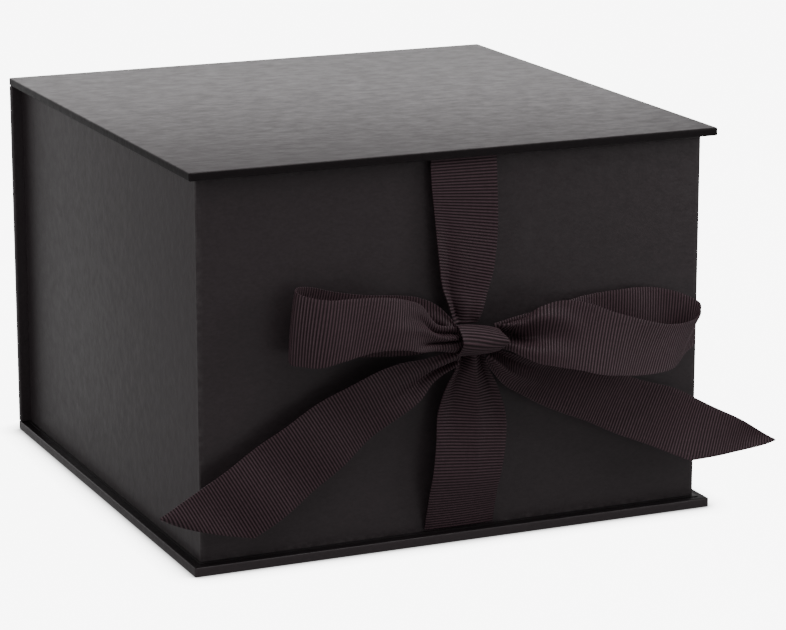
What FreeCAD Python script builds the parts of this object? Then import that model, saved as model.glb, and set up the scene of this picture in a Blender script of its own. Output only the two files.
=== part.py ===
"""Gift box with a hinged lid, tied shut with a ribbon and a bow.

Frame: millimetres, +Z up, +Y to the back of the box. The origin is the middle of the
base's underside. The box is a case of three boards (base, spine and lid) covered in
paper, with a tray glued to the base and the spine. The lid turns on the paper crease at
the top of the spine. One ribbon end is glued under the lid and one under the tray.
"""

import FreeCAD
import Part
import Sketcher

import os
import re

DOC = FreeCAD.newDocument("gift_box")
SHEET = DOC.addObject("Spreadsheet::Sheet", "Sizes")

# The driving dimensions, in millimetres and degrees.
DRIVING = {
    "box_width": 200,
    "box_depth": 200,
    "box_height": 141,
    "paper": 0.25,
    "base_card": 3,
    "lid_card": 2.5,
    "tray_card": 2,
    "side_overhang": 4,
    "front_overhang": 5,
    "turn_in": 15,
    "rim_turn_in": 20,
    "liner_margin": 3,
    "stay_leg": 18,
    "stay_thickness": 0.15,
    "ribbon_width": 26,
    "ribbon_thickness": 0.6,
    "ribbon_end_length": 36,
    "ribbon_middle": 2,
    "gather_width": 10,
    "strap_taper": 26,
    "lid_strap_length": 58,
    "lid_strap_lean": 6.5,
    "base_strap_length": 70.8,
    "base_strap_lean": 7.4,
    "fold_gap": 0.1,
    "knot_width": 18,
    "knot_height": 11,
    "knot_depth": 11,
    "knot_bottom": 71,
    "knot_standoff": 10.2,
    "knot_rounding": 2.5,
    "loop_band": 0.8,
    "loop_root": 1.2,
    "left_loop_length": 64,
    "left_loop_bulge": 9,
    "left_loop_tilt": 8,
    "right_loop_length": 82,
    "right_loop_bulge": 11,
    "right_loop_tilt": -5,
    "tail_root": 9,
    "tail_gather": 30,
    "tail_cut": 25,
    "tail_spread": 5,
    "tail_height": 68,
    "left_tail_length": 114,
    "left_tail_tilt": -28.5,
    "right_tail_length": 118,
    "right_tail_tilt": -24,
}

# Sizes worked out from the driving dimensions.
DERIVED = {
    "base_thickness": "base_card + 3 * paper",
    "lid_thickness": "lid_card + 3 * paper",
    "spine_thickness": "lid_card + 2 * paper",
    "lid_underside": "box_height - lid_thickness",
    "tray_height": "lid_underside - base_thickness",
    "tray_width": "box_width - 2 * side_overhang",
    "tray_front": "front_overhang - box_depth / 2",
    "tray_back": "box_depth / 2 - spine_thickness",
    "tray_depth": "tray_back - tray_front",
    "tray_middle": "(tray_back + tray_front) / 2",
    "card_line": "paper + stay_thickness",
    "floor_line": "card_line + tray_card",
    "lining_line": "floor_line + paper",
    "card_width": "tray_width - 2 * card_line",
    "card_depth": "tray_depth - 2 * card_line",
    "card_height": "tray_height - 2 * paper",
    "floor_width": "tray_width - 2 * floor_line",
    "floor_depth": "tray_depth - 2 * floor_line",
    "lined_width": "tray_width - 2 * lining_line",
    "lined_depth": "tray_depth - 2 * lining_line",
    "ribbon_front": "liner_margin - box_depth / 2",
    "strap_foot": "tray_front - ribbon_thickness - fold_gap",
    "knot_back": "tray_front - knot_standoff",
    "knot_middle": "knot_back - knot_depth / 2",
    "knot_middle_height": "knot_bottom + knot_height / 2",
    "knot_left": "ribbon_middle - knot_width / 2",
    "knot_right": "ribbon_middle + knot_width / 2",
}

BOUND_NAMES = re.compile(r"\b(" + "|".join({**DRIVING, **DERIVED}) + r")\b")


def fill_sheet():
    """Writes every size into the spreadsheet and gives its cell the size's name."""
    for row, (name, value) in enumerate({**DRIVING, **DERIVED}.items(), start=1):
        text = f"={value}" if isinstance(value, str) else str(value)
        SHEET.set(f"A{row}", name)
        SHEET.set(f"B{row}", text)
        SHEET.setAlias(f"B{row}", name)
    DOC.recompute()


def bound(formula):
    """Turns a formula of size names into an expression on the spreadsheet."""
    return BOUND_NAMES.sub(r"Sizes.\1", formula)


def value_of(formula):
    """The number that a formula of size names gives now."""
    return float(SHEET.evalExpression(bound(formula)))


# ---- bodies, sketches and features -------------------------------------------------


def new_body(label, x="0", y="0", z="0", turn_axis=None, turn="0"):
    """A PartDesign body, named for its piece, placed and turned by formulas."""
    body = DOC.addObject("PartDesign::Body", label)
    body.Label = label
    for letter, formula in (("x", x), ("y", y), ("z", z)):
        body.setExpression(f"Placement.Base.{letter}", bound(formula))
    if turn_axis:
        body.Placement.Rotation = FreeCAD.Rotation(FreeCAD.Vector(*turn_axis), 1)
        body.setExpression("Placement.Rotation.Angle", bound(turn))
    return body


def new_sketch(body, plane, level="0", spread=None):
    """A sketch on one of the body's origin planes, raised along the plane's normal.

    A spread turns it about its own upright axis.
    """
    sketch = body.newObject("Sketcher::SketchObject", f"{body.Label}_sketch")
    origin_plane = [part for part in body.Origin.OriginFeatures if part.Role == plane][0]
    sketch.AttachmentSupport = [(origin_plane, "")]
    sketch.MapMode = "FlatFace"
    sketch.setExpression("AttachmentOffset.Base.z", bound(level))
    if spread:
        upright = FreeCAD.Vector(0, 1, 0)
        sketch.AttachmentOffset.Rotation = FreeCAD.Rotation(upright, 1)
        sketch.setExpression("AttachmentOffset.Rotation.Angle", bound(spread))
    return sketch


def constrain(sketch, kind, *places, formula):
    """Adds a measured constraint whose value comes from a formula."""
    constraint = Sketcher.Constraint(kind, *places, value_of(formula))
    index = sketch.addConstraint(constraint)
    sketch.setExpression(f"Constraints[{index}]", bound(formula))


def draw_outline(sketch, corners):
    """A closed outline of straight sides; each corner is a pair of formulas."""
    first = sketch.GeometryCount
    count = len(corners)
    spots = [FreeCAD.Vector(value_of(x), value_of(y), 0) for x, y in corners]
    for start, end in zip(spots, spots[1:] + spots[:1]):
        sketch.addGeometry(Part.LineSegment(start, end), False)
    for side in range(count):
        following = first + (side + 1) % count
        sketch.addConstraint(Sketcher.Constraint("Coincident", first + side, 2, following, 1))
    for side, (x, y) in enumerate(corners):
        constrain(sketch, "DistanceX", -1, 1, first + side, 1, formula=x)
        constrain(sketch, "DistanceY", -1, 1, first + side, 1, formula=y)


def draw_rectangle(sketch, width, depth, middle_x="0", middle_y="0"):
    """A rectangle of the given width and depth about a middle point."""
    left, right = (f"{middle_x} {sign} ({width}) / 2" for sign in "-+")
    front, back = (f"{middle_y} {sign} ({depth}) / 2" for sign in "-+")
    draw_outline(sketch, [(left, front), (right, front), (right, back), (left, back)])


def draw_teardrop(sketch, tip_x, tip_half, end_x, radius):
    """Two straight sides from a narrow tip that widen into half a circle."""
    tip, half, centre, reach = (value_of(item) for item in (tip_x, tip_half, end_x, radius))
    first = sketch.GeometryCount
    upper_tip = FreeCAD.Vector(tip, half, 0)
    lower_tip = FreeCAD.Vector(tip, -half, 0)
    upper_end = FreeCAD.Vector(centre, reach, 0)
    lower_end = FreeCAD.Vector(centre, -reach, 0)
    far_end = FreeCAD.Vector(centre + reach, 0, 0)
    sketch.addGeometry(Part.LineSegment(upper_tip, lower_tip), False)
    sketch.addGeometry(Part.LineSegment(lower_tip, lower_end), False)
    sketch.addGeometry(Part.Arc(lower_end, far_end, upper_end), False)
    sketch.addGeometry(Part.LineSegment(upper_end, upper_tip), False)
    tip_side, lower_side, bend, upper_side = range(first, first + 4)
    for pair in (
        (tip_side, 2, lower_side, 1),
        (lower_side, 2, bend, 1),
        (bend, 2, upper_side, 1),
        (upper_side, 2, tip_side, 1),
    ):
        sketch.addConstraint(Sketcher.Constraint("Coincident", *pair))
    constrain(sketch, "DistanceX", -1, 1, tip_side, 1, formula=tip_x)
    constrain(sketch, "DistanceX", -1, 1, tip_side, 2, formula=tip_x)
    constrain(sketch, "DistanceY", -1, 1, tip_side, 1, formula=tip_half)
    constrain(sketch, "DistanceY", tip_side, 2, -1, 1, formula=tip_half)
    constrain(sketch, "DistanceX", -1, 1, bend, 3, formula=end_x)
    sketch.addConstraint(Sketcher.Constraint("PointOnObject", bend, 3, -1))
    sketch.addConstraint(Sketcher.Constraint("Vertical", bend, 1, bend, 2))
    constrain(sketch, "Radius", bend, formula=radius)


def pad(body, sketch, length):
    """Adds the sketch's outline to the body, raised along the sketch's normal."""
    feature = body.newObject("PartDesign::Pad", f"{body.Label}_pad")
    feature.Profile = sketch
    feature.setExpression("Length", bound(length))
    sketch.Visibility = False
    body.Tip = feature
    DOC.recompute()
    return feature


def pocket(body, sketch, length):
    """Cuts the sketch's outline into the body, below the sketch, and checks that it cuts."""
    before = body.Shape.Volume
    feature = body.newObject("PartDesign::Pocket", f"{body.Label}_pocket")
    feature.Profile = sketch
    feature.setExpression("Length", bound(length))
    sketch.Visibility = False
    body.Tip = feature
    DOC.recompute()
    if body.Shape.Volume >= before:
        raise RuntimeError(f"the pocket in {body.Label} cuts nothing")
    return feature


def add_slab(body, width, depth, low, height, middle_y="0"):
    """A flat plate."""
    sketch = new_sketch(body, "XY_Plane", low)
    draw_rectangle(sketch, width, depth, middle_y=middle_y)
    return pad(body, sketch, height)


def add_ring(body, outer, inner, low, height, middle_y="0"):
    """A rectangular ring between two (width, depth) pairs of formulas."""
    sketch = new_sketch(body, "XY_Plane", low)
    draw_rectangle(sketch, *outer, middle_y=middle_y)
    draw_rectangle(sketch, *inner, middle_y=middle_y)
    return pad(body, sketch, height)


def cut_slot(body, width, front, length, top, depth):
    """A flat slot for a glued ribbon end, on the ribbon's line."""
    sketch = new_sketch(body, "XY_Plane", top)
    middle = f"{front} + ({length}) / 2"
    draw_rectangle(sketch, width, length, middle_x="ribbon_middle", middle_y=middle)
    return pocket(body, sketch, depth)


# ---- the paper-covered case --------------------------------------------------------


def make_card(label, width, depth, thickness, **where):
    """A greyboard panel, inside its cover paper."""
    body = new_body(label, **where)
    add_slab(body, f"{width} - 2 * paper", f"{depth} - 2 * paper", "0", thickness)
    return body


def make_cover(label, width, depth, card, **where):
    """Cover paper: a sheet under the card, its edges, and the margin turned in above."""
    body = new_body(label, **where)
    outer = (width, depth)
    inside = (f"{width} - 2 * paper", f"{depth} - 2 * paper")
    window = (f"{width} - 2 * turn_in", f"{depth} - 2 * turn_in")
    add_slab(body, width, depth, "0", "paper")
    add_ring(body, outer, inside, "paper", card)
    add_ring(body, outer, window, f"paper + {card}", "paper")
    return body


def make_liner(label, turned_up, **where):
    """Lining paper: it fills the window between the turned-in margins and covers them."""
    body = new_body(label, **where)
    fill_low, sheet_low = ("0", "paper") if turned_up else ("paper", "0")
    window = ("box_width - 2 * turn_in", "box_depth - 2 * turn_in")
    sheet = ("box_width - 2 * liner_margin", "box_depth - 2 * liner_margin")
    add_slab(body, *window, fill_low, "paper")
    add_slab(body, *sheet, sheet_low, "paper")
    return body


def make_base():
    """The base board with its cover and lining, slotted for the ribbon's end."""
    card = make_card("base_board", "box_width", "box_depth", "base_card", z="paper")
    cover = make_cover("base_wrap", "box_width", "box_depth", "base_card")
    liner = make_liner("base_liner", True, z="paper + base_card")
    end = ("ribbon_width", "strap_foot", "ribbon_end_length")
    cut_slot(liner, *end, "2 * paper", "paper")
    return [card, cover, liner]


def make_spine():
    """The upright back board, its cover sheet facing backwards."""
    upright = {"turn_axis": (1, 0, 0), "turn": "90"}
    height = "tray_height"
    middle = f"base_thickness + {height} / 2"
    card_back = {"y": "box_depth / 2 - paper", "z": middle, **upright}
    cover_back = {"y": "box_depth / 2", "z": middle, **upright}
    card = make_card("spine_board", "box_width", height, "lid_card", **card_back)
    cover = make_cover("spine_wrap", "box_width", height, "lid_card", **cover_back)
    return [card, cover]


def make_lid():
    """The lid board with its cover on top, its lining below and the ribbon's slot."""
    top_down = {"turn_axis": (0, 1, 0), "turn": "180"}
    size = ("box_width", "box_depth", "lid_card")
    card = make_card("lid_board", *size, z="lid_underside + 2 * paper")
    cover = make_cover("lid_wrap", *size, z="box_height", **top_down)
    liner = make_liner("lid_liner", False, z="lid_underside")
    end = ("ribbon_front", "ribbon_end_length")
    cut_slot(card, "ribbon_width", *end, "paper", "paper")
    cut_slot(liner, "ribbon_width", *end, "2 * paper", "paper")
    sketch = new_sketch(cover, "XY_Plane", "2 * paper + lid_card")
    middle_y = "ribbon_front + ribbon_end_length / 2"
    slot = ("ribbon_width", "ribbon_end_length", "0 - ribbon_middle", middle_y)
    draw_rectangle(sketch, *slot)
    pocket(cover, sketch, "paper")
    return [card, cover, liner]


# ---- the tray ----------------------------------------------------------------------


def make_tray_cards():
    """The tray's floor and four walls, of thinner greyboard."""
    low = "base_thickness + paper"
    floor = new_body("tray_floor", y="tray_middle", z=low)
    add_slab(floor, "floor_width", "floor_depth", "0", "tray_card")
    pieces = [floor]
    side_x = "(card_width - tray_card) / 2"
    end_y = "(card_depth - tray_card) / 2"
    walls = {
        "tray_left_wall": (f"0 - {side_x}", "tray_middle", "tray_card", "floor_depth"),
        "tray_right_wall": (side_x, "tray_middle", "tray_card", "floor_depth"),
        "tray_front_wall": ("0", f"tray_middle - {end_y}", "card_width", "tray_card"),
        "tray_back_wall": ("0", f"tray_middle + {end_y}", "card_width", "tray_card"),
    }
    for label, (x, y, width, depth) in walls.items():
        wall = new_body(label, x=x, y=y, z=low)
        add_slab(wall, width, depth, "0", "card_height")
        pieces.append(wall)
    return pieces


def make_tray_papers():
    """The tray's outer wrap, with its turned edges, and the linings inside it."""
    outer = ("tray_width", "tray_depth")
    skin = ("tray_width - 2 * paper", "tray_depth - 2 * paper")
    walls = ("floor_width", "floor_depth")
    lined = ("lined_width", "lined_depth")
    turned_under = ("tray_width - 2 * turn_in", "tray_depth - 2 * turn_in")
    wrap = new_body("tray_wrap", y="tray_middle", z="base_thickness")
    add_ring(wrap, outer, turned_under, "0", "paper")
    add_ring(wrap, outer, skin, "paper", "card_height")
    add_ring(wrap, outer, lined, "tray_height - paper", "paper")
    add_ring(wrap, walls, lined, "tray_height - rim_turn_in", "rim_turn_in - paper")
    end = ("strap_foot - tray_middle", "ribbon_end_length")
    cut_slot(wrap, "ribbon_width", *end, "paper", "paper")
    floor_top = "base_thickness + paper + tray_card"
    lining = new_body("tray_liner", y="tray_middle", z=floor_top)
    add_ring(lining, walls, lined, "0", f"lid_underside - rim_turn_in - ({floor_top})")
    sheet = new_body("floor_liner", y="tray_middle", z=floor_top)
    add_slab(sheet, "lined_width", "lined_depth", "0", "paper")
    return [wrap, lining, sheet]


def make_corner_stays():
    """Gummed paper strips that hold the tray's corners, bent to an L."""
    pieces = []
    corners = {
        "corner_stay_front_left": (-1, -1),
        "corner_stay_front_right": (1, -1),
        "corner_stay_back_right": (1, 1),
        "corner_stay_back_left": (-1, 1),
    }
    for label, (side_x, side_y) in corners.items():
        corner_x = f"{side_x} * (tray_width / 2 - paper)"
        corner_y = f"tray_middle + {side_y} * (tray_depth / 2 - paper)"
        stay = new_body(label, x=corner_x, y=corner_y, z="base_thickness + paper")
        sketch = new_sketch(stay, "XY_Plane")
        leg_x, leg_y = (f"{0 - side} * stay_leg" for side in (side_x, side_y))
        thin_x, thin_y = (f"{0 - side} * stay_thickness" for side in (side_x, side_y))
        outline = [("0", "0"), (leg_x, "0"), (leg_x, thin_y), (thin_x, thin_y)]
        draw_outline(sketch, outline + [(thin_x, leg_y), ("0", leg_y)])
        pad(stay, sketch, "card_height")
        pieces.append(stay)
    return pieces


# ---- the ribbon --------------------------------------------------------------------


def make_ribbon_ends():
    """The two glued ends, pressed flat: one under the lid's lining, one under the tray."""
    pieces = []
    places = {
        "lid_ribbon_end": ("ribbon_front", "lid_underside + paper"),
        "base_ribbon_end": ("strap_foot", "base_thickness - paper"),
    }
    for label, (front, low) in places.items():
        end = new_body(label, x="ribbon_middle", y=f"{front} + ribbon_end_length / 2", z=low)
        add_slab(end, "ribbon_width", "ribbon_end_length", "0", "2 * paper")
        pieces.append(end)
    return pieces


def make_strap(label, length, direction, **where):
    """A strap of ribbon that narrows to its gathered end, in an upright plane."""
    body = new_body(label, x="ribbon_middle", **where)
    sketch = new_sketch(body, "XZ_Plane")
    full = f"{direction} * ({length} - strap_taper)"
    end = f"{direction} * {length}"
    edge, gathered = "ribbon_width / 2", "gather_width / 2"
    left = [(f"0 - {edge}", "0"), (f"0 - {edge}", full), (f"0 - {gathered}", end)]
    right = [(gathered, end), (edge, full), (edge, "0")]
    draw_outline(sketch, left + right)
    pad(body, sketch, "ribbon_thickness")
    return body


def make_straps():
    """The strap that hangs from the lid and the strap that rises from the base."""
    fold = {"y": "ribbon_front", "z": "lid_underside"}
    from_lid = {**fold, "turn_axis": (-1, 0, 0), "turn": "lid_strap_lean"}
    foot = {"y": "strap_foot + ribbon_thickness", "z": "base_thickness + paper + fold_gap"}
    from_base = {**foot, "turn_axis": (1, 0, 0), "turn": "base_strap_lean"}
    return [
        make_strap("lid_strap", "lid_strap_length", -1, **from_lid),
        make_strap("base_strap", "base_strap_length", 1, **from_base),
    ]


def make_knot():
    """The knot: a band wrapped round the gathered ribbon, as a rounded block."""
    body = new_body("bow_knot", x="ribbon_middle", y="knot_middle", z="knot_bottom")
    block = add_slab(body, "knot_width", "knot_depth", "0", "knot_height")
    front = value_of("0 - knot_depth / 2")
    edges = []
    for number, edge in enumerate(block.Shape.Edges, start=1):
        if abs(edge.CenterOfMass.y - front) < 0.01:
            edges.append(f"Edge{number}")
    rounding = body.newObject("PartDesign::Fillet", "bow_knot_rounding")
    rounding.Base = (block, edges)
    rounding.setExpression("Radius", bound("knot_rounding"))
    body.Tip = rounding
    return body


def make_loops():
    """The two loops: teardrop rings of ribbon on each side of the knot."""
    pieces = []
    sides = {
        "bow_left_loop": ("left_loop", "knot_left", "180 + left_loop_tilt"),
        "bow_right_loop": ("right_loop", "knot_right", "0 - right_loop_tilt"),
    }
    for label, (name, root, turn) in sides.items():
        place = {"x": root, "y": "knot_middle", "z": "knot_middle_height"}
        body = new_body(label, **place, turn_axis=(0, 1, 0), turn=turn)
        sketch = new_sketch(body, "XY_Plane", "0 - ribbon_width / 2")
        end = f"{name}_length - {name}_bulge"
        bulge = f"{name}_bulge"
        draw_teardrop(sketch, "0", "loop_root", end, bulge)
        inner = ("4 * loop_band", "loop_root - loop_band", end, f"{bulge} - loop_band")
        draw_teardrop(sketch, *inner)
        pad(body, sketch, "ribbon_width")
        pieces.append(body)
    return pieces


def make_tails():
    """The two tails: flat strips with a gathered root and a slanted cut end."""
    pieces = []
    sides = {
        "bow_left_tail": ("left_tail", "knot_left", "180 + left_tail_tilt", -1),
        "bow_right_tail": ("right_tail", "knot_right", "0 - right_tail_tilt", 1),
    }
    for label, (name, root, turn, upper) in sides.items():
        place = {"x": root, "y": "knot_back", "z": "tail_height"}
        body = new_body(label, **place, turn_axis=(0, 1, 0), turn=turn)
        sketch = new_sketch(body, "XZ_Plane", spread="tail_spread")
        root_edge = f"{upper} * tail_root / 2"
        full_edge = f"{upper} * ribbon_width / 2"
        tip = f"{name}_length"
        long_side = [("0", root_edge), ("tail_gather", full_edge), (tip, full_edge)]
        short_side = [(f"{tip} - tail_cut", f"0 - ({full_edge})")]
        short_side += [("tail_gather", f"0 - ({full_edge})"), ("0", f"0 - ({root_edge})")]
        draw_outline(sketch, long_side + short_side)
        pad(body, sketch, "ribbon_thickness")
        pieces.append(body)
    return pieces


# ---- checks and export -------------------------------------------------------------


def check(pieces):
    """Stops if any feature failed or any piece isn't one valid solid."""
    for item in DOC.Objects:
        if "Invalid" in item.State or "Error" in item.State:
            raise RuntimeError(f"{item.Label} did not compute: {item.State}")
    for piece in pieces:
        shape = piece.Shape
        if shape.isNull() or not shape.isValid() or len(shape.Solids) != 1:
            raise RuntimeError(f"{piece.Label} is not one valid solid")


def export(pieces):
    """Writes one STEP file for each piece, named for its label."""
    os.makedirs("parts", exist_ok=True)
    for piece in pieces:
        piece.Shape.exportStep(f"parts/{piece.Label}.step")
        low, high = piece.Shape.BoundBox.ZMin, piece.Shape.BoundBox.ZMax
        print(f"{piece.Label}: {piece.Shape.Volume:.0f} mm3, from z {low:.1f} to {high:.1f}")


fill_sheet()
PIECES = make_base() + make_spine() + make_lid()
PIECES += make_tray_cards() + make_tray_papers() + make_corner_stays()
PIECES += make_ribbon_ends() + make_straps()
PIECES += [make_knot()] + make_loops() + make_tails()
DOC.recompute()
check(PIECES)
export(PIECES)
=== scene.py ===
# %% [markdown]
# # A black gift box tied with a plum ribbon
# The box is a case of paper-covered boards with a tray glued inside. Its frame comes from
# the imported model, so every piece here is made in metres, where the real one sits. This
# first step loads that frame.

import math

import bmesh
import bpy
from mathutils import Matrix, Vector


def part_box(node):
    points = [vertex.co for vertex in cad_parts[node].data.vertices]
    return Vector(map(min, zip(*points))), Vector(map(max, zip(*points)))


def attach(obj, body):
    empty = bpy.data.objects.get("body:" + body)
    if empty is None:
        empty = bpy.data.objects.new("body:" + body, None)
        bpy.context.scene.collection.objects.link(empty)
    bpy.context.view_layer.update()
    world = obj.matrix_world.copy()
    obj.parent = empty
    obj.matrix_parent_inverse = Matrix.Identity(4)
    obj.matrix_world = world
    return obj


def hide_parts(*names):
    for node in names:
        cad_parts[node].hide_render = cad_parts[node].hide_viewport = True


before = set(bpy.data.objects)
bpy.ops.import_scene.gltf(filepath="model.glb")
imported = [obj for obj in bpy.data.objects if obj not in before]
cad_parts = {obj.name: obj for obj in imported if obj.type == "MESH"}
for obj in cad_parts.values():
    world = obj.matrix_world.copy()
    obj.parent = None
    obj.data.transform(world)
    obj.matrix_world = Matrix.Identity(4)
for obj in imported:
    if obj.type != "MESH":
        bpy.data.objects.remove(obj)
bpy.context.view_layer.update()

# %% [markdown]
# ## Measures
# The covers are worked out from the boxes of the frame's own nodes. The lid's cover, for
# example, is as large as the lid's paper in the frame. The tied ribbon is the exception,
# because no two bows are the same. Its points are in millimetres. Many of them come from a
# separate calculation, which placed the ribbon's edges where they are seen, at a guessed
# distance from the box. The rest were moved or added.

# %% Name the measures
MM = 0.001
PAPER = 0.25 * MM
TURN_IN = 15 * MM
RIM_TURN_IN = 20 * MM

LID_LOW, LID_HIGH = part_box("lid_wrap")
BASE_LOW, BASE_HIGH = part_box("base_wrap")
SPINE_LOW, SPINE_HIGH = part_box("spine_wrap")
TRAY_LOW, TRAY_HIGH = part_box("tray_wrap")
WALL_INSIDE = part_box("tray_left_wall")[1][0]
WALL = WALL_INSIDE - TRAY_LOW[0] + PAPER
BOX_MIDDLE = (Vector(BASE_LOW) + Vector(LID_HIGH)) / 2
print("tray wall with its papers, mm:", round(WALL / MM, 2))

# %% [markdown]
# ## Camera, light and floor
# A long lens from a little above and to the left shows the lid, the front with the bow
# and the left side. A separate calculation fitted its place and lens to the box's corners.
# Black paper is seen by what it reflects, so the room is white, and
# soft panels stand above, at both sides and, the widest, behind, where the lid mirrors it.


# %% Aim the camera
def aim(item, at):
    """Turns a camera or lamp so that it looks at a point."""
    way = Vector(at) - item.location
    item.rotation_euler = way.to_track_quat("-Z", "Y").to_euler()


CAMERA_AZIMUTH = math.radians(-23.81)
CAMERA_ELEVATION = math.radians(14.15)
CAMERA_PLACE = Vector((-0.4583, -1.0793, 0.3550))

camera_data = bpy.data.cameras.new("camera")
camera = bpy.data.objects.new("camera", camera_data)
bpy.context.collection.objects.link(camera)
camera.location = CAMERA_PLACE
away = Vector(
    (
        math.sin(CAMERA_AZIMUTH) * math.cos(CAMERA_ELEVATION),
        -math.cos(CAMERA_AZIMUTH) * math.cos(CAMERA_ELEVATION),
        math.sin(CAMERA_ELEVATION),
    )
)
aim(camera, CAMERA_PLACE - away)
camera_data.sensor_width = 36
camera_data.lens = 147
camera_data.clip_start = 0.05
bpy.context.scene.camera = camera
print("camera to box, m:", round((CAMERA_PLACE - BOX_MIDDLE).length, 3))


# %% Light the room
def add_panel(name, place, at, size, power, colour=(1, 1, 1)):
    """A rectangular lamp that faces a point."""
    data = bpy.data.lights.new(name, "AREA")
    data.shape = "RECTANGLE"
    data.size, data.size_y = size
    data.energy = power
    data.color = colour
    lamp = bpy.data.objects.new(name, data)
    bpy.context.collection.objects.link(lamp)
    lamp.location = place
    aim(lamp, at)
    return lamp


world = bpy.data.worlds.new("white_room")
bpy.context.scene.world = world
world.use_nodes = True
room = world.node_tree.nodes["Background"]
room.inputs["Color"].default_value = (1, 1, 1, 1)
room.inputs["Strength"].default_value = 0.55

WARM_WHITE = (1, 0.965, 0.972)
add_panel("top_light", (0.2, -0.55, 1.4), BOX_MIDDLE, (1.0, 1.0), 17)
add_panel("left_light", (-1.5, -0.7, 0.6), BOX_MIDDLE, (0.6, 0.6), 9)
add_panel("right_light", (1.5, -0.9, 0.6), BOX_MIDDLE, (0.6, 0.6), 12)
add_panel("back_light", (-0.2, 4.0, 1.15), BOX_MIDDLE, (6.0, 1.9), 38, WARM_WHITE)

# %% Lay the floor
bpy.ops.object.select_all(action="DESELECT")
bpy.ops.mesh.primitive_plane_add(size=30, location=(0, 0, 0))
floor = bpy.context.object
floor.name = "floor"
print("floor laid at z =", floor.location.z)

# %% [markdown]
# ## Shared effects
# Some finishes show on several materials: the soft swells and the fibres of paper that is
# glued to board, and the rubbed edges of a handled box. Each is a node group, built once
# and placed in each material with its own values. A group gives only a mask or a height,
# and each material has its own shader.


# %% Helpers for node trees
def new_group(name, values, outputs):
    """An empty node group with a vector input, number inputs and number outputs."""
    group = bpy.data.node_groups.new(name, "ShaderNodeTree")
    group.interface.new_socket("Vector", in_out="INPUT", socket_type="NodeSocketVector")
    for label, value in values.items():
        item = group.interface.new_socket(label, in_out="INPUT", socket_type="NodeSocketFloat")
        item.default_value = value
    for label in outputs:
        group.interface.new_socket(label, in_out="OUTPUT", socket_type="NodeSocketFloat")
    start = group.nodes.new("NodeGroupInput")
    end = group.nodes.new("NodeGroupOutput")
    return group, start, end


def calculate(tree, operation, first, second=None, third=None, clamp=False):
    """A Math node on sockets or numbers; gives its output socket."""
    node = tree.nodes.new("ShaderNodeMath")
    node.operation = operation
    node.use_clamp = clamp
    for slot, value in zip(node.inputs, (first, second, third)):
        if value is None:
            continue
        if isinstance(value, (int, float)):
            slot.default_value = value
        else:
            tree.links.new(value, slot)
    return node.outputs[0]


def stretched_noise(tree, vector, scale, detail=3.0, roughness=0.6):
    """Noise whose pattern is drawn out by a different scale along each axis."""
    mapping = tree.nodes.new("ShaderNodeMapping")
    mapping.inputs["Scale"].default_value = scale
    tree.links.new(vector, mapping.inputs["Vector"])
    noise = tree.nodes.new("ShaderNodeTexNoise")
    noise.inputs["Scale"].default_value = 1
    noise.inputs["Detail"].default_value = detail
    noise.inputs["Roughness"].default_value = roughness
    tree.links.new(mapping.outputs["Vector"], noise.inputs["Vector"])
    return noise.outputs["Fac"]


# %% Build the paper's unevenness
def build_paper_relief():
    """Soft swells of glued paper, a few millimetres long, and its fine fibres."""
    group, start, end = new_group("paper_relief", {}, ["Swell", "Fibre"])
    place = start.outputs["Vector"]
    swell = stretched_noise(group, place, (170, 260, 260), detail=3.0, roughness=0.55)
    fibre = stretched_noise(group, place, (700, 1300, 1300), detail=4.0)
    group.links.new(swell, end.inputs["Swell"])
    group.links.new(fibre, end.inputs["Fibre"])
    return group


PAPER_RELIEF = build_paper_relief()
print("group:", PAPER_RELIEF.name)


# %% Build the edge rub
def build_edge_rub():
    """A mask that is 1 on the rim of a box-shaped panel and breaks up unevenly inwards.

    Half X, Y and Z are the panel's half sizes about the middle of the given vector.
    """
    sizes = {"Half X": 0.1, "Half Y": 0.1, "Half Z": 0.07, "Reach": 0.001}
    group, start, end = new_group("edge_rub", sizes, ["Rub"])
    parts = group.nodes.new("ShaderNodeSeparateXYZ")
    group.links.new(start.outputs["Vector"], parts.inputs["Vector"])
    depths = []
    for axis in "XYZ":
        spread = calculate(group, "ABSOLUTE", parts.outputs[axis])
        depths.append(calculate(group, "SUBTRACT", start.outputs[f"Half {axis}"], spread))
    low_xy = calculate(group, "MINIMUM", depths[0], depths[1])
    high_xy = calculate(group, "MAXIMUM", depths[0], depths[1])
    low_z = calculate(group, "MAXIMUM", low_xy, depths[2])
    second = calculate(group, "MINIMUM", low_z, high_xy)
    share = calculate(group, "DIVIDE", second, start.outputs["Reach"])
    near = calculate(group, "SUBTRACT", 1, share, clamp=True)
    speckle = stretched_noise(group, start.outputs["Vector"], (420, 420, 420), detail=4.0)
    rough = calculate(group, "MULTIPLY_ADD", speckle, 3.0, -1.2, clamp=True)
    group.links.new(calculate(group, "MULTIPLY", near, rough), end.inputs["Rub"])
    return group


EDGE_RUB = build_edge_rub()
print("group:", EDGE_RUB.name)

# %% [markdown]
# ## Paper
# The cover paper is dyed black right through, with a satin face. Seen nearly edge-on, the
# lid reflects the room and looks grey, and the swells under the paper break that up into
# long soft streaks. The gloss is left to the shader's own index of refraction. On the lid's
# edges and on the base's ledge the paper is painted darker and duller, as painted shade,
# with only a little real rub.


# %% Helpers for materials
def new_material(name, ior=1.45):
    """A material with its Principled shader and a source of coordinates."""
    material = bpy.data.materials.new(name)
    material.use_nodes = True
    tree = material.node_tree
    shader = tree.nodes["Principled BSDF"]
    shader.inputs["IOR"].default_value = ior
    source = tree.nodes.new("ShaderNodeTexCoord")
    return material, tree, shader, source


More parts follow.
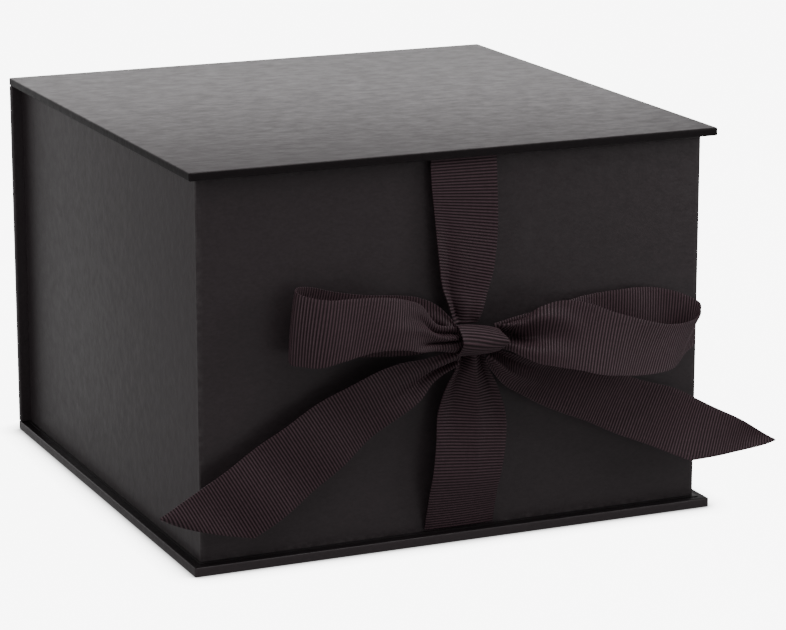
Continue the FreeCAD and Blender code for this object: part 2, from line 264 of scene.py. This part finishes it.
def place_group(tree, group, vector, **values):
    """Puts a node group in a material, with values on its inputs."""
    node = tree.nodes.new("ShaderNodeGroup")
    node.node_tree = group
    tree.links.new(vector, node.inputs["Vector"])
    for label, value in values.items():
        node.inputs[label.replace("_", " ")].default_value = value
    return node


def blend_colours(tree, mask, dark, light):
    """Mixes two colours by a mask; gives the colour socket."""
    mix = tree.nodes.new("ShaderNodeMix")
    mix.data_type = "RGBA"
    tree.links.new(mask, mix.inputs["Factor"])
    for label, value in (("A", dark), ("B", light)):
        socket = [item for item in mix.inputs if item.name == label and item.type == "RGBA"][0]
        if isinstance(value, tuple):
            socket.default_value = (*value, 1)
        else:
            tree.links.new(value, socket)
    return [item for item in mix.outputs if item.type == "RGBA"][0]


def raise_bump(tree, shader, height, distance, strength=1.0):
    """Feeds a height into the shader's normal."""
    bump = tree.nodes.new("ShaderNodeBump")
    bump.inputs["Distance"].default_value = distance
    bump.inputs["Strength"].default_value = strength
    tree.links.new(height, bump.inputs["Height"])
    tree.links.new(bump.outputs["Normal"], shader.inputs["Normal"])


# %% Make the cover paper
PAPER_BLACK = (0.011, 0.0086, 0.0094)
PAPER_GREY = (0.024, 0.0190, 0.0206)
RUBBED = (0.16, 0.15, 0.15)
BLACK_TINT = (1, 0.94, 0.955, 1)
SWELL_HEIGHT = 0.16 * MM


def make_cover_paper(name, low, high, worn, reach, tones=(PAPER_BLACK, PAPER_GREY), ior=1.3):
    """Satin black paper for one panel, rubbed along that panel's own edges."""
    material, tree, shader, source = new_material(name, ior)
    shader.inputs["Specular Tint"].default_value = BLACK_TINT
    middle = (Vector(low) + Vector(high)) / 2
    half = (Vector(high) - Vector(low)) / 2
    centred = tree.nodes.new("ShaderNodeMapping")
    centred.inputs["Location"].default_value = -middle
    tree.links.new(source.outputs["Object"], centred.inputs["Vector"])
    relief = place_group(tree, PAPER_RELIEF, source.outputs["Object"])
    halves = {"Half_X": half.x, "Half_Y": half.y, "Half_Z": half.z}
    rub = place_group(tree, EDGE_RUB, centred.outputs["Vector"], Reach=reach, **halves)
    swell, fibre = relief.outputs["Swell"], relief.outputs["Fibre"]
    black = blend_colours(tree, fibre, *tones)
    amount = calculate(tree, "MULTIPLY", rub.outputs["Rub"], worn)
    tree.links.new(blend_colours(tree, amount, black, RUBBED), shader.inputs["Base Color"])
    uneven = calculate(tree, "MULTIPLY_ADD", swell, 0.20, 0.22)
    rougher = calculate(tree, "MULTIPLY_ADD", fibre, 0.10, uneven)
    tree.links.new(rougher, shader.inputs["Roughness"])
    height = calculate(tree, "MULTIPLY_ADD", fibre, 0.12, swell)
    raise_bump(tree, shader, height, SWELL_HEIGHT, 0.8)
    return material


COVER_PAPERS = {
    "lid": make_cover_paper("cover_paper_lid", LID_LOW, LID_HIGH, 0.10, 0.0010),
    "base": make_cover_paper("cover_paper_base", BASE_LOW, BASE_HIGH, 0.06, 0.0010),
    "spine": make_cover_paper("cover_paper_spine", SPINE_LOW, SPINE_HIGH, 0.10, 0.0010),
    "tray": make_cover_paper("cover_paper_tray", TRAY_LOW, TRAY_HIGH, 0.14, 0.0022),
}
# Darker, duller paper for the lid's lips and the base's ledge: painted shade, with a little real
# rub.
PAINTED_SHADE_FINISH = {
    "worn": 0.05,
    "reach": 0.0009,
    "tones": ((0.004, 0.0032, 0.0035), (0.009, 0.0072, 0.0078)),
    "ior": 1.16,
}
PAINTED_SHADE_PAPERS = {
    "lid": make_cover_paper("painted_shade_paper_lid", LID_LOW, LID_HIGH, **PAINTED_SHADE_FINISH),
    "base": make_cover_paper("painted_shade_paper_base", BASE_LOW, BASE_HIGH, **PAINTED_SHADE_FINISH),
}
print("cover papers:", len(COVER_PAPERS) + len(PAINTED_SHADE_PAPERS))


# %% Make the lining, the boards and the gummed stays
def make_plain_paper(name, dark, light, roughness, scale, ior=1.45):
    """Paper or board with no gloss of its own: two tones of short fibres."""
    material, tree, shader, source = new_material(name, ior)
    fibre = stretched_noise(tree, source.outputs["Object"], scale, detail=6.0)
    tree.links.new(blend_colours(tree, fibre, dark, light), shader.inputs["Base Color"])
    dry = calculate(tree, "MULTIPLY_ADD", fibre, 0.2, roughness - 0.1)
    tree.links.new(dry, shader.inputs["Roughness"])
    raise_bump(tree, shader, fibre, 0.1 * MM, 0.5)
    return material


LINING = make_plain_paper(
    "lining_paper", (0.005, 0.0042, 0.0045), (0.012, 0.0100, 0.0108), 0.42, (350, 900, 900), 1.2
)
GREYBOARD = make_plain_paper(
    "greyboard", (0.20, 0.185, 0.165), (0.42, 0.40, 0.37), 0.85, (500, 800, 1600)
)
STAY_PAPER = make_plain_paper(
    "gummed_paper", (0.38, 0.27, 0.15), (0.55, 0.42, 0.27), 0.7, (700, 700, 250)
)

# %% [markdown]
# ## Ribbon finish
# Grosgrain is woven with thick cross threads, so it has a rib about every millimetre.
# The ribs themselves are modelled in the mesh. The material follows the ribbon's own map:
# U is the distance across in millimetres and V counts the ribs. It paints the rib crests
# lighter, as painted highlights, and the valleys darker, as painted shade, draws the fine
# lengthwise threads that pass over each rib, and adds a soft sheen.


# %% Make the grosgrain
# The valley colour is painted shade and the rib colour a painted highlight on the plum.
PLUM_VALLEY_PAINTED_SHADE = (0.0075, 0.0037, 0.0046)
PLUM_RIB_PAINTED_HIGHLIGHT = (0.053, 0.0288, 0.0358)


def make_grosgrain():
    """Plum ribbed ribbon, coloured by its own map, with painted highlights on the rib crests and
    painted shade in the valleys.
    """
    material, tree, shader, source = new_material("plum_grosgrain", ior=1.22)
    shader.inputs["Sheen Weight"].default_value = 0.06
    shader.inputs["Sheen Roughness"].default_value = 0.4
    shader.inputs["Sheen Tint"].default_value = (0.75, 0.6, 0.66, 1)
    parts = tree.nodes.new("ShaderNodeSeparateXYZ")
    tree.links.new(source.outputs["UV"], parts.inputs["Vector"])
    swing = calculate(tree, "SINE", calculate(tree, "MULTIPLY", parts.outputs["Y"], math.pi))
    crest = calculate(tree, "POWER", calculate(tree, "ABSOLUTE", swing), 3.0)
    fine = calculate(tree, "SINE", calculate(tree, "MULTIPLY", parts.outputs["X"], 16.0))
    thread = calculate(tree, "MULTIPLY_ADD", fine, 0.25, 0.75)
    mottle = stretched_noise(tree, source.outputs["UV"], (0.9, 0.35, 1), detail=4.0)
    # The crests are painted lighter as painted highlights, broken up by the threads and a random
    # mottle.
    painted_crest_light = calculate(tree, "MULTIPLY", crest, thread)
    tone = calculate(tree, "MULTIPLY", painted_crest_light, calculate(tree, "ADD", mottle, 0.5), clamp=True)
    colour = blend_colours(tree, tone, PLUM_VALLEY_PAINTED_SHADE, PLUM_RIB_PAINTED_HIGHLIGHT)
    tree.links.new(colour, shader.inputs["Base Color"])
    satin = calculate(tree, "MULTIPLY_ADD", crest, -0.3, 0.72)
    tree.links.new(satin, shader.inputs["Roughness"])
    raise_bump(tree, shader, thread, 0.04 * MM, 0.5)
    return material


GROSGRAIN = make_grosgrain()
print("ribbon material:", GROSGRAIN.name)

# %% [markdown]
# ## Covered panels
# A covered panel is a board with paper glued over its outer face, taken round the edges
# and turned in by 15 mm behind. A plain cube would have knife edges. Here the cube is only
# the start: its edges are bevelled as far as thin paper lets them, a window is cut where
# the paper stops, and Solidify gives the sheet its thickness.


# %% Helpers for modelling by operators
def start_block(name, low, high):
    """A cube shaped to a box, with its place and size in the mesh."""
    bpy.ops.object.select_all(action="DESELECT")
    middle = (Vector(low) + Vector(high)) / 2
    bpy.ops.mesh.primitive_cube_add(size=1, location=middle)
    block = bpy.context.object
    block.name = name
    block.scale = Vector(high) - Vector(low)
    bpy.ops.object.transform_apply(location=True, rotation=True, scale=True)
    return block


def pick(kind, test):
    """In edit mode, selects the faces or edges that pass a test, and nothing else."""
    mesh = bmesh.from_edit_mesh(bpy.context.object.data)
    bpy.ops.mesh.select_all(action="DESELECT")
    bpy.ops.mesh.select_mode(type="FACE" if kind == "faces" else "EDGE")
    found = 0
    for item in getattr(mesh, kind):
        if test(item):
            item.select_set(True)
            found += 1
    bmesh.update_edit_mesh(bpy.context.object.data)
    return found


def faces_towards(direction):
    """A test for flat faces that look one way."""
    return lambda face: face.normal.dot(Vector(direction)) > 0.999


def edge_middle(edge):
    """The point half way along an edge."""
    return (edge.verts[0].co + edge.verts[1].co) / 2


def finish_sheet(piece, material):
    """Turns an open shell into paper of real thickness, and gives it its material."""
    solidify = piece.modifiers.new("paper", "SOLIDIFY")
    solidify.thickness = PAPER
    solidify.offset = -1
    bpy.ops.object.modifier_apply(modifier=solidify.name)
    bpy.ops.object.shade_smooth_by_angle(angle=math.radians(30))
    piece.data.materials.append(material)
    print(piece.name, "faces:", len(piece.data.polygons))


def paint_shade_on_faces(piece, material, test):
    """Gives the faces of a panel's cover that pass a test the darker paper of painted shade."""
    piece.data.materials.append(material)
    for face in piece.data.polygons:
        if test(face.normal):
            face.material_index = 1


# %% Cover the lid, the base and the spine
EDGE_ROUND = 0.55 * MM


def cover_panel(name, low, high, inside, material):
    """The paper of one covered panel; inside is the direction of its turned-in face."""
    piece = start_block(name, low, high)
    bpy.ops.object.mode_set(mode="EDIT")
    pick("edges", lambda edge: True)
    bpy.ops.mesh.bevel(offset=EDGE_ROUND, segments=4, affect="EDGES")
    pick("faces", faces_towards(inside))
    bpy.ops.mesh.inset(thickness=TURN_IN - EDGE_ROUND)
    bpy.ops.mesh.delete(type="FACE")
    bpy.ops.object.mode_set(mode="OBJECT")
    finish_sheet(piece, material)
    return piece


lid_cover = cover_panel("lid_cover", LID_LOW, LID_HIGH, (0, 0, -1), COVER_PAPERS["lid"])
base_cover = cover_panel("base_cover", BASE_LOW, BASE_HIGH, (0, 0, 1), COVER_PAPERS["base"])
# The lid's lips and the base's ledge take the paper that is painted darker as painted shade.
paint_shade_on_faces(lid_cover, PAINTED_SHADE_PAPERS["lid"], lambda normal: abs(normal.z) < 0.6)
paint_shade_on_faces(base_cover, PAINTED_SHADE_PAPERS["base"], lambda normal: normal.z > 0.6)

crease_low = (*SPINE_LOW[:2], BASE_HIGH[2])
crease_high = (*SPINE_HIGH[:2], LID_LOW[2])
spine_cover = cover_panel(
    "spine_cover", crease_low, crease_high, (0, -1, 0), COVER_PAPERS["spine"]
)

# %% [markdown]
# ## Tray wrap
# The tray is wrapped in one sheet that goes round the four walls, over the rim and 20 mm
# down the inside, and is turned under the floor. The cube's top is inset by the wall's
# thickness and pushed down to make the rim and the inner margin, and the bottom is opened.


# %% Wrap the tray
CORNER_ROUND = 0.65 * MM
RIM_ROUND = 0.4 * MM


def is_outer_corner(edge):
    """True for the four upright edges that run the whole height of the tray."""
    along = edge.verts[1].co - edge.verts[0].co
    return abs(along.z) > 0.9 * along.length and along.length > 2 * RIM_TURN_IN


def is_rim(edge):
    """True for the edges where the flat top of the wall turns down."""
    level = abs(edge_middle(edge).z - TRAY_HIGH[2]) < 0.01 * MM
    return level and edge.is_manifold and edge.calc_face_angle() > 1


def wrap_tray():
    """The sheet round the tray's walls, with its rim and its margins."""
    piece = start_block("tray_cover", TRAY_LOW, TRAY_HIGH)
    bpy.ops.object.mode_set(mode="EDIT")
    pick("faces", faces_towards((0, 0, 1)))
    bpy.ops.mesh.inset(thickness=WALL)
    bpy.ops.mesh.extrude_region_move(TRANSFORM_OT_translate={"value": (0, 0, -RIM_TURN_IN)})
    bpy.ops.mesh.delete(type="FACE")
    pick("faces", faces_towards((0, 0, -1)))
    bpy.ops.mesh.inset(thickness=TURN_IN)
    bpy.ops.mesh.delete(type="FACE")
    pick("edges", is_outer_corner)
    bpy.ops.mesh.bevel(offset=CORNER_ROUND, segments=4, affect="EDGES")
    print("rim edges:", pick("edges", is_rim))
    bpy.ops.mesh.bevel(offset=RIM_ROUND, segments=3, affect="EDGES")
    bpy.ops.object.mode_set(mode="OBJECT")
    finish_sheet(piece, COVER_PAPERS["tray"])
    return piece


tray_cover = wrap_tray()

# %% [markdown]
# ## Ribbon
# A length of ribbon is a thin strip that bends and twists but doesn't stretch. Its two
# edges are laid out as pairs of points, and a smooth curve through them gives both edges.
# The strip is then sampled four times for each rib, its creases are added where it is
# gathered, and both faces are raised in ribs. That keeps the ribs square to the ribbon
# and the same size everywhere, which a texture on a bent plane wouldn't.

# %% Lay out one strip of ribbon
RIBBON_WIDTH = 26
RIB_PITCH = 1.08
RIB_SAMPLES = 4
RIB_HEIGHT = 0.24
HALF_THICK = 0.16
ACROSS = 24
SPAN_STEPS = 20


def catmull(points, place):
    """A smooth curve through points, at a place counted in points."""
    last = len(points) - 1
    index = min(int(place), last - 1)
    part = place - index
    before = points[max(index - 1, 0)]
    start, end = points[index], points[index + 1]
    after = points[min(index + 2, last)]
    bend = 2 * before - 5 * start + 4 * end - after
    twist = 3 * (start - end) + after - before
    return start + 0.5 * part * (end - before + part * (bend + part * twist))


def even_places(upper, lower, closed):
    """Places along the strip, four for each rib, evenly spaced along its middle."""
    steps = SPAN_STEPS * (len(upper) - 1)
    places = [i / SPAN_STEPS for i in range(steps + 1)]
    middles = [(catmull(upper, p) + catmull(lower, p)) / 2 for p in places]
    travelled = [0.0]
    for a, b in zip(middles, middles[1:]):
        travelled.append(travelled[-1] + (b - a).length)
    ribs = round(travelled[-1] / RIB_PITCH)
    rows = ribs * RIB_SAMPLES
    result = []
    near = 0
    for row in range(rows if closed else rows + 1):
        wanted = travelled[-1] * row / rows
        while near < steps - 1 and travelled[near + 1] < wanted:
            near += 1
        gap = travelled[near + 1] - travelled[near]
        share = (wanted - travelled[near]) / gap
        result.append((wanted, places[near] + share / SPAN_STEPS))
    return result, travelled[-1]


def surface_normals(grid, closed):
    """The direction that each point of a grid faces."""
    rows, columns = len(grid), len(grid[0])
    normals = []
    for i in range(rows):
        above = grid[(i + 1) % rows] if closed else grid[min(i + 1, rows - 1)]
        below = grid[i - 1] if closed or i else grid[0]
        line = []
        for j in range(columns):
            along = above[j] - below[j]
            over = grid[i][min(j + 1, columns - 1)] - grid[i][max(j - 1, 0)]
            line.append(along.cross(over).normalized())
        normals.append(line)
    return normals


def lay_strip(stations, crease, cut, closed):
    """The middle surface of a ribbon, as rows of points, and its length."""
    upper = [Vector(a) for a, b in stations]
    lower = [Vector(b) for a, b in stations]
    if closed:
        upper.append(upper[0])
        lower.append(lower[0])
    places, length = even_places(upper, lower, closed)
    flat = []
    for travelled, place in places:
        top, bottom = catmull(upper, place), catmull(lower, place)
        share = 1.0
        if cut and travelled > length - cut:
            share = max((length - travelled) / cut, 0.01) ** 0.8
        flat.append([top.lerp(bottom, share * j / ACROSS) for j in range(ACROSS + 1)])
    normals = surface_normals(flat, closed)
    grid = []
    for (travelled, _), line, facing in zip(places, flat, normals):
        row = []
        for j, (point, normal) in enumerate(zip(line, facing)):
            row.append(point + normal * crease(travelled, length, j / ACROSS))
        grid.append(row)
    return grid, length


def rib_lift(row, column):
    """How far a rib stands up at one point of the grid; the woven edges are flatter."""
    edge = 0.35 if column in (0, ACROSS) else 1.0
    return RIB_HEIGHT * edge * abs(math.sin(math.pi * row / RIB_SAMPLES))


# %% Weave the strip into a mesh
def ribbon_faces(rows, closed):
    """The corners of each face, as indices and as places on the ribbon's own map."""
    columns = ACROSS + 1
    faces, maps = [], []

    def index(i, side, j):
        return (i % rows) * 2 * columns + side * columns + j

    def add(corners):
        faces.append([index(*corner) for corner in corners])
        maps.append([(c[2] * RIBBON_WIDTH / ACROSS, c[0] / RIB_SAMPLES) for c in corners])

    for i in range(rows if closed else rows - 1):
        for j in range(ACROSS):
            add([(i, 0, j), (i + 1, 0, j), (i + 1, 0, j + 1), (i, 0, j + 1)])
            add([(i, 1, j), (i, 1, j + 1), (i + 1, 1, j + 1), (i + 1, 1, j)])
        add([(i, 0, 0), (i, 1, 0), (i + 1, 1, 0), (i + 1, 0, 0)])
        add([(i, 0, ACROSS), (i + 1, 0, ACROSS), (i + 1, 1, ACROSS), (i, 1, ACROSS)])
    if not closed:
        for j in range(ACROSS):
            add([(0, 0, j), (0, 0, j + 1), (0, 1, j + 1), (0, 1, j)])
            end = rows - 1
            add([(end, 0, j), (end, 1, j), (end, 1, j + 1), (end, 0, j + 1)])
    return faces, maps


def make_ribbon(name, stations, crease, cut=0.0, closed=False):
    """A piece of ribbed ribbon: two faces, two woven edges and, if open, two ends."""
    grid, length = lay_strip(stations, crease, cut, closed)
    normals = surface_normals(grid, closed)
    points = []
    for i, (line, facing) in enumerate(zip(grid, normals)):
        for side in (1, -1):
            for j, (point, normal) in enumerate(zip(line, facing)):
                points.append((point + normal * side * (HALF_THICK + rib_lift(i, j))) * MM)
    faces, maps = ribbon_faces(len(grid), closed)
    mesh = bpy.data.meshes.new(name)
    mesh.from_pydata(points, [], faces)
    weave = mesh.uv_layers.new(name="weave")
    corner = 0
    for face in maps:
        for spot in face:
            weave.data[corner].uv = spot
            corner += 1
    piece = bpy.data.objects.new(name, mesh)
    bpy.context.collection.objects.link(piece)
    bpy.ops.object.select_all(action="DESELECT")
    piece.select_set(True)
    bpy.context.view_layer.objects.active = piece
    bpy.ops.object.mode_set(mode="EDIT")
    bpy.ops.mesh.select_all(action="SELECT")
    bpy.ops.mesh.normals_make_consistent(inside=False)
    bpy.ops.object.mode_set(mode="OBJECT")
    bpy.ops.object.shade_smooth_by_angle(angle=math.radians(50))
    mesh.materials.append(GROSGRAIN)
    print(name, "length mm:", round(length), "faces:", len(mesh.polygons))
    return piece, length


# %% [markdown]
# ## Folds
# Where the ribbon is squeezed into the knot, its width gathers into a few folds that run
# along it and die out within 20 to 50 mm. Each fold is a ridge or a valley: its place
# across the ribbon at the knot and where it ends, its height, its half width as a share
# of the ribbon's, and its reach. It is lower in its first 3 mm, where the knot presses it.
# Most strips also arch a little across their width, and the loops and tails ripple about
# every 28 mm, as ribbon does when it has been wound on a reel.

# %% Describe the folds
PRESSED = 3
RIPPLE = 4.5


def fade(distance, reach):
    """From 1 at the knot to 0 where the fold has died out, with no corner."""
    share = min(max(distance / reach, 0.0), 1.0)
    return 1 - share * share * (3 - 2 * share)


def folded(start=(), end=(), arch=0.0, ripple=0.0):
    """The lift of the surface by a strip's arch, its ripples and the folds at its ends."""

    def crease(travelled, length, across):
        lift = arch * 4 * across * (1 - across)
        lift += ripple * math.sin(travelled / RIPPLE + 2 * across)
        for folds, distance in ((start, travelled), (end, length - travelled)):
            root = 1 - 0.7 * fade(distance, PRESSED)
            for near, far, height, width, reach in folds:
                place = near + (far - near) * min(distance / reach, 1)
                ridge = math.exp(-(((across - place) / width) ** 2))
                lift += height * root * fade(distance, reach) * ridge
        return lift

    return crease


# %% [markdown]
# ## The two straps
# One strap comes out from under the lid and narrows down to the back of the knot. The
# other rises from under the tray and spreads out below the knot in soft folds.

# %% Lay the straps
LID_STRAP = [
    ((-4, -102, 80), (5, -102, 80)),
    ((-6, -102, 87), (7, -102, 85)),
    ((-8, -101, 94), (9, -101, 90)),
    ((-9, -100.4, 104), (12, -100.4, 99)),
    ((-10, -99.3, 117), (14, -99, 113)),
    ((-11, -98.4, 130), (14, -98.2, 129)),
    ((-11, -97.6, 138), (14, -97.6, 138)),
]
BASE_STRAP = [
    ((-3, -105, 74), (5, -105, 74)),
    ((-4, -104, 65), (8, -104, 65)),
    ((-7, -102, 57), (13, -102, 56)),
    ((-9.5, -101, 48), (16.7, -101, 45)),
    ((-10.7, -102.5, 38), (16, -102.5, 35)),
    ((-12, -103, 27), (14.2, -103, 25)),
    ((-12.5, -101, 19), (13.6, -101, 18)),
    ((-12.3, -98, 11), (14, -98, 11)),
    ((-12.2, -95.9, 4.7), (14.2, -95.9, 4.7)),
]
LID_STRAP_FOLDS = [(0.24, 0.14, 2.4, 0.13, 46), (0.88, 0.94, -1.2, 0.12, 26)]
BASE_STRAP_FOLDS = [
    (0.26, 0.2, -3.4, 0.14, 48),
    (0.54, 0.6, 1.6, 0.1, 56),
    (0.88, 0.84, -2.0, 0.1, 40),
]
lid_strap, lid_strap_length = make_ribbon("lid_strap_ribbon", LID_STRAP, folded(LID_STRAP_FOLDS))
base_strap, base_strap_length = make_ribbon(
    "base_strap_ribbon", BASE_STRAP, folded(BASE_STRAP_FOLDS, arch=0.4)
)

# %% [markdown]
# ## The loops
# Each loop leaves the knot at the front, swings out, turns back at its far end and comes
# back along the box to the knot. Each is one strip, so that the inside of the loop shows.

# %% Lay the loops
LEFT_LOOP = [
    ((-4, -109, 80.5), (-4, -109, 72)),
    ((-9, -109, 81.5), (-9, -110, 72.5)),
    ((-14.5, -109, 83), (-15, -112, 74)),
    ((-19.5, -110, 90), (-22, -115, 75)),
    ((-26, -112, 93), (-30, -117, 77)),
    ((-35, -113, 95), (-41, -119, 78)),
    ((-46, -114, 96), (-52, -119, 76)),
    ((-55, -113, 96), (-60, -117, 74)),
    ((-61, -110, 97), (-65, -113, 74)),
    ((-64, -107, 98), (-68, -109, 74)),
    ((-63, -103, 99), (-67, -105, 75)),
    ((-57, -100, 98), (-62, -102, 74)),
    ((-47, -99, 95), (-52, -101, 73)),
    ((-37, -99, 93), (-42, -101, 72)),
    ((-26, -100, 92), (-29, -102, 71)),
    ((-17, -101, 90.5), (-19, -103, 71)),
    ((-10, -102.5, 87), (-11, -104, 72)),
    ((-4, -106, 80), (-4, -106, 73)),
]
RIGHT_LOOP = [
    ((9, -109, 80.5), (9, -110, 72)),
    ((14.5, -109, 80.5), (13, -111, 71)),
    ((19, -110, 81.5), (17, -114, 69)),
    ((25, -111.5, 85.5), (21.5, -118, 67)),
    ((33, -113, 87.3), (27, -120.5, 66)),
    ((43, -114, 85.5), (34.5, -122.5, 64.5)),
    ((52, -115, 81.7), (43, -124, 62)),
    ((62, -115, 78), (52, -124, 61)),
    ((74, -114, 75), (62, -123, 60)),
    ((83, -111, 74), (73, -119, 60)),
    ((91, -106, 75), (82, -113, 63)),
    ((93, -103, 78), (88, -108, 65)),
    ((90, -100, 80), (87, -104, 66)),
    ((83, -99, 83), (80, -102, 67)),
    ((72, -98, 85), (69, -102, 67)),
    ((55, -99, 85), (53, -102, 67)),
    ((41, -101, 84), (38, -103, 68)),
    ((28, -103, 82), (26, -105, 69)),
    ((9, -106, 80), (9, -106, 72)),
]
LEFT_LOOP_FOLDS = [
    (0.3, 0.4, -2.2, 0.12, 34),
    (0.42, 0.66, 1.6, 0.12, 40),
    (0.5, 0.97, -4.2, 0.06, 24),
    (0.8, 1.0, 1.0, 0.08, 16),
]
RIGHT_LOOP_FOLDS = [
    (0.02, 0.42, -4.0, 0.13, 34),
    (0.42, 0.66, 4.2, 0.16, 34),
    (0.8, 0.8, -1.4, 0.14, 40),
]
BACK_FOLDS = [(0.35, 0.3, -1.5, 0.14, 24), (0.75, 0.8, 1.0, 0.12, 20)]
left_loop, left_loop_length = make_ribbon(
    "left_loop_ribbon", LEFT_LOOP, folded(LEFT_LOOP_FOLDS, BACK_FOLDS, arch=0.6, ripple=0.6)
)
right_loop, right_loop_length = make_ribbon(
    "right_loop_ribbon", RIGHT_LOOP, folded(RIGHT_LOOP_FOLDS, BACK_FOLDS, arch=0.6, ripple=0.6)
)

# %% [markdown]
# ## The tails
# The tails fall away on each side, a little clear of the box, and are cut on a slant.
# The cut crosses the ribs, so the strip runs on to the tip and only its rows get shorter.

# %% Lay the tails
LEFT_TAIL = [
    ((-4, -107, 73), (-4, -107, 67)),
    ((-17, -106, 70), (-12, -105, 61)),
    ((-26, -106, 69), (-18, -105, 55)),
    ((-37, -105, 66), (-27, -104, 49)),
    ((-48, -104, 61), (-37, -103, 42)),
    ((-60, -103, 55), (-47, -103, 34)),
    ((-72, -103, 48), (-58, -103, 25.8)),
    ((-82, -103, 42), (-68, -103, 19)),
    ((-93, -103, 35.5), (-79, -103, 12.4)),
    ((-103, -104, 30), (-90, -104, 7)),
    ((-114, -104, 24.4), (-101, -104, 1.5)),
]
RIGHT_TAIL = [
    ((8, -107, 72), (6, -107, 67)),
    ((20, -106, 67), (13, -105, 58)),
    ((30, -105, 64), (22, -105, 52)),
    ((42, -104, 61), (33, -105, 46)),
    ((57, -103, 57), (47, -106, 40)),
    ((70, -103, 52), (59, -107, 34)),
    ((82, -103, 48), (71, -108, 29)),
    ((92, -104, 43), (82, -110, 24)),
    ((101, -105, 38), (92, -111, 19)),
    ((112, -106, 32), (104, -112, 13)),
    ((123, -107, 25), (116, -113, 7)),
]
LEFT_TAIL_FOLDS = [(0.76, 0.6, -3.6, 0.17, 50), (0.3, 0.25, 1.4, 0.14, 60)]
RIGHT_TAIL_FOLDS = [(0.6, 0.5, -2.8, 0.14, 36), (0.2, 0.2, 1.2, 0.12, 40)]
left_tail, left_tail_length = make_ribbon(
    "left_tail_ribbon", LEFT_TAIL, folded(LEFT_TAIL_FOLDS, arch=0.5, ripple=0.6), cut=24
)
right_tail, right_tail_length = make_ribbon(
    "right_tail_ribbon", RIGHT_TAIL, folded(RIGHT_TAIL_FOLDS, arch=0.5, ripple=0.6), cut=33
)

# %% [markdown]
# ## The knot
# The knot is a short turn of the same ribbon, wrapped once round the gathered middle. It
# is wound a little on the slant, so its ribs drop to the right, and it narrows there. Its
# front comes to a soft nose, with a face that looks up and one that looks down.

# %% Wrap the knot
KNOT_LOW, KNOT_HIGH = (Vector(corner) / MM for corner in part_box("bow_knot"))
KNOT_MIDDLE = (KNOT_LOW + KNOT_HIGH) / 2
KNOT_HALF = (KNOT_HIGH - KNOT_LOW) / 2
KNOT_SLANT = 0.62


def knot_point(x, angle, size, drop):
    """A point of the knot's section, which is pointed at the front and flatter behind."""
    forward, up = math.sin(angle), math.cos(angle)
    nose = 1 - 0.16 * abs(math.sin(2 * angle)) * (forward > 0)
    deep = -forward * size * nose * KNOT_HALF.y
    tall = up * size * nose * KNOT_HALF.z - drop
    return x, KNOT_MIDDLE.y + deep, KNOT_MIDDLE.z + tall


def knot_turn(angle):
    """One pair of edge points round the knot."""
    left = knot_point(KNOT_LOW.x + 0.4, angle, 0.93, 0)
    far = angle + KNOT_SLANT
    right = knot_point(KNOT_HIGH.x + 0.8 - 2.5 * abs(math.cos(far)), far, 0.66, 1.2)
    return left, right


KNOT_STATIONS = [knot_turn(2 * math.pi * step / 12) for step in range(12)]
knot, knot_length = make_ribbon("knot_ribbon", KNOT_STATIONS, folded(arch=0.8), closed=True)

# %% [markdown]
# ## Finishes for the boards and linings
# The boards, linings and stays have the right shape in the frame already. They keep their
# meshes and only get the finish of the real material, which shows when the lid is open.

# %% Give the frame's own pieces their finish
FINISHES = {
    "greyboard": (GREYBOARD, ["board", "tray_floor", "_wall"]),
    "lining": (LINING, ["liner"]),
    "stays": (STAY_PAPER, ["corner_stay"]),
    "ribbon ends": (GROSGRAIN, ["ribbon_end"]),
}
for title, (material, endings) in FINISHES.items():
    nodes = [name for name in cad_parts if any(word in name for word in endings)]
    for name in nodes:
        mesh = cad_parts[name].data
        mesh.materials.clear()
        mesh.materials.append(material)
    print(title, len(nodes))

# %% [markdown]
# ## Floor finish
# The floor is matt and pale. It shines by itself, strongly for the camera and faintly for
# the box, so it looks almost white but doesn't drown the black paper in light. Within
# 10 mm of the box it shines less, which leaves a soft contact shadow.


# %% Finish the floor
def make_floor_finish():
    """Matt and pale, bright to the camera and dim close to what stands on it."""
    material, tree, shader, source = new_material("pale_floor")
    shader.inputs["Roughness"].default_value = 0.9
    shader.inputs["Base Color"].default_value = (0.25, 0.25, 0.25, 1)
    shader.inputs["Emission Color"].default_value = (1, 1, 1, 1)
    sight = tree.nodes.new("ShaderNodeLightPath").outputs["Is Camera Ray"]
    nearness = tree.nodes.new("ShaderNodeAmbientOcclusion")
    nearness.inputs["Distance"].default_value = 10 * MM
    openness = calculate(tree, "POWER", nearness.outputs["AO"], 3.5)
    seen = calculate(tree, "MULTIPLY", sight, openness)
    glow = calculate(tree, "MULTIPLY_ADD", seen, 7.5, 0.26)
    tree.links.new(glow, shader.inputs["Emission Strength"])
    return material


floor.data.materials.append(make_floor_finish())
print("floor finish:", floor.active_material.name)

# %% [markdown]
# ## Put the pieces on their bodies
# Each new piece rides on the body that it moves with and stands for the frame's plain solid,
# which is hidden. Each piece of ribbon is a sheet that was cut flat: its own length by the
# ribbon's 26 mm.

# %% Ride and replace
COVERS = [
    (lid_cover, "lid", "lid_wrap"),
    (base_cover, "box", "base_wrap"),
    (spine_cover, "box", "spine_wrap"),
    (tray_cover, "box", "tray_wrap"),
]
for piece, body, node in COVERS:
    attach(piece, body)
    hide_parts(node)

RIBBONS = [
    (lid_strap, lid_strap_length, "lid_ribbon", "lid_strap", "stretched"),
    (base_strap, base_strap_length, "bow", "base_strap", "stretched"),
    (knot, knot_length, "bow", "bow_knot", "folded"),
    (left_loop, left_loop_length, "bow", "bow_left_loop", "folded"),
    (right_loop, right_loop_length, "bow", "bow_right_loop", "folded"),
    (left_tail, left_tail_length, "bow", "bow_left_tail", "hung"),
    (right_tail, right_tail_length, "bow", "bow_right_tail", "hung"),
]
for piece, length, body, node, held in RIBBONS:
    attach(piece, body)
    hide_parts(node)
